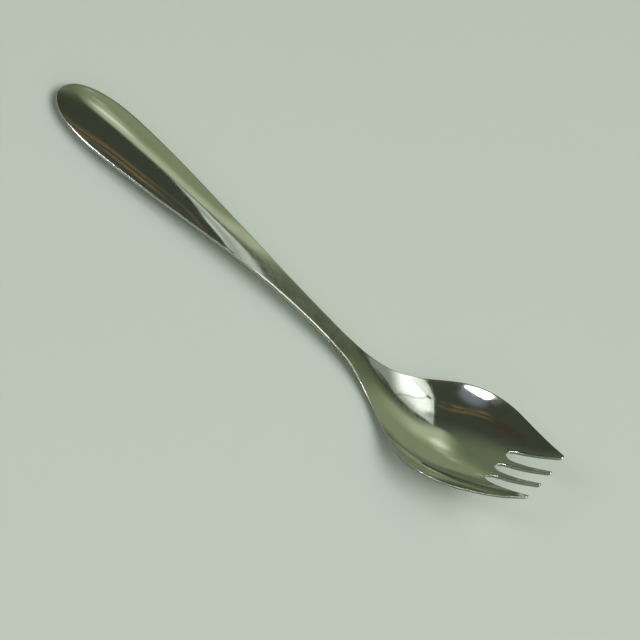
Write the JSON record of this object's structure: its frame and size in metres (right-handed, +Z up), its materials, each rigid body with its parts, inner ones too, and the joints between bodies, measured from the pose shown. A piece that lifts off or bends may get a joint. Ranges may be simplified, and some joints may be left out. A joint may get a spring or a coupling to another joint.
{
  "type": "serving spork",
  "caption": "Polished steel spork with a plump tear-drop hollow handle, narrow neck, and a scoop bowl that rises into short tines.",
  "frame": {"origin": "on the table under the middle of the spork's bounding box", "axes": "+X along the spork towards the tines, +Y to the left looking that way, +Z up, out of the bowl"},
  "size_m": [0.2004, 0.0418, 0.027],
  "materials": {
    "polished_steel": "mirror-polished stainless steel",
    "weld_bead": "ground and polished weld"
  },
  "bodies": {
    "root": {"spork_head": "polished_steel", "handle_upper_shell": "polished_steel", "handle_lower_shell": "polished_steel", "handle_seam_weld": "weld_bead", "neck_weld": "weld_bead"}
  },
  "joints": []
}
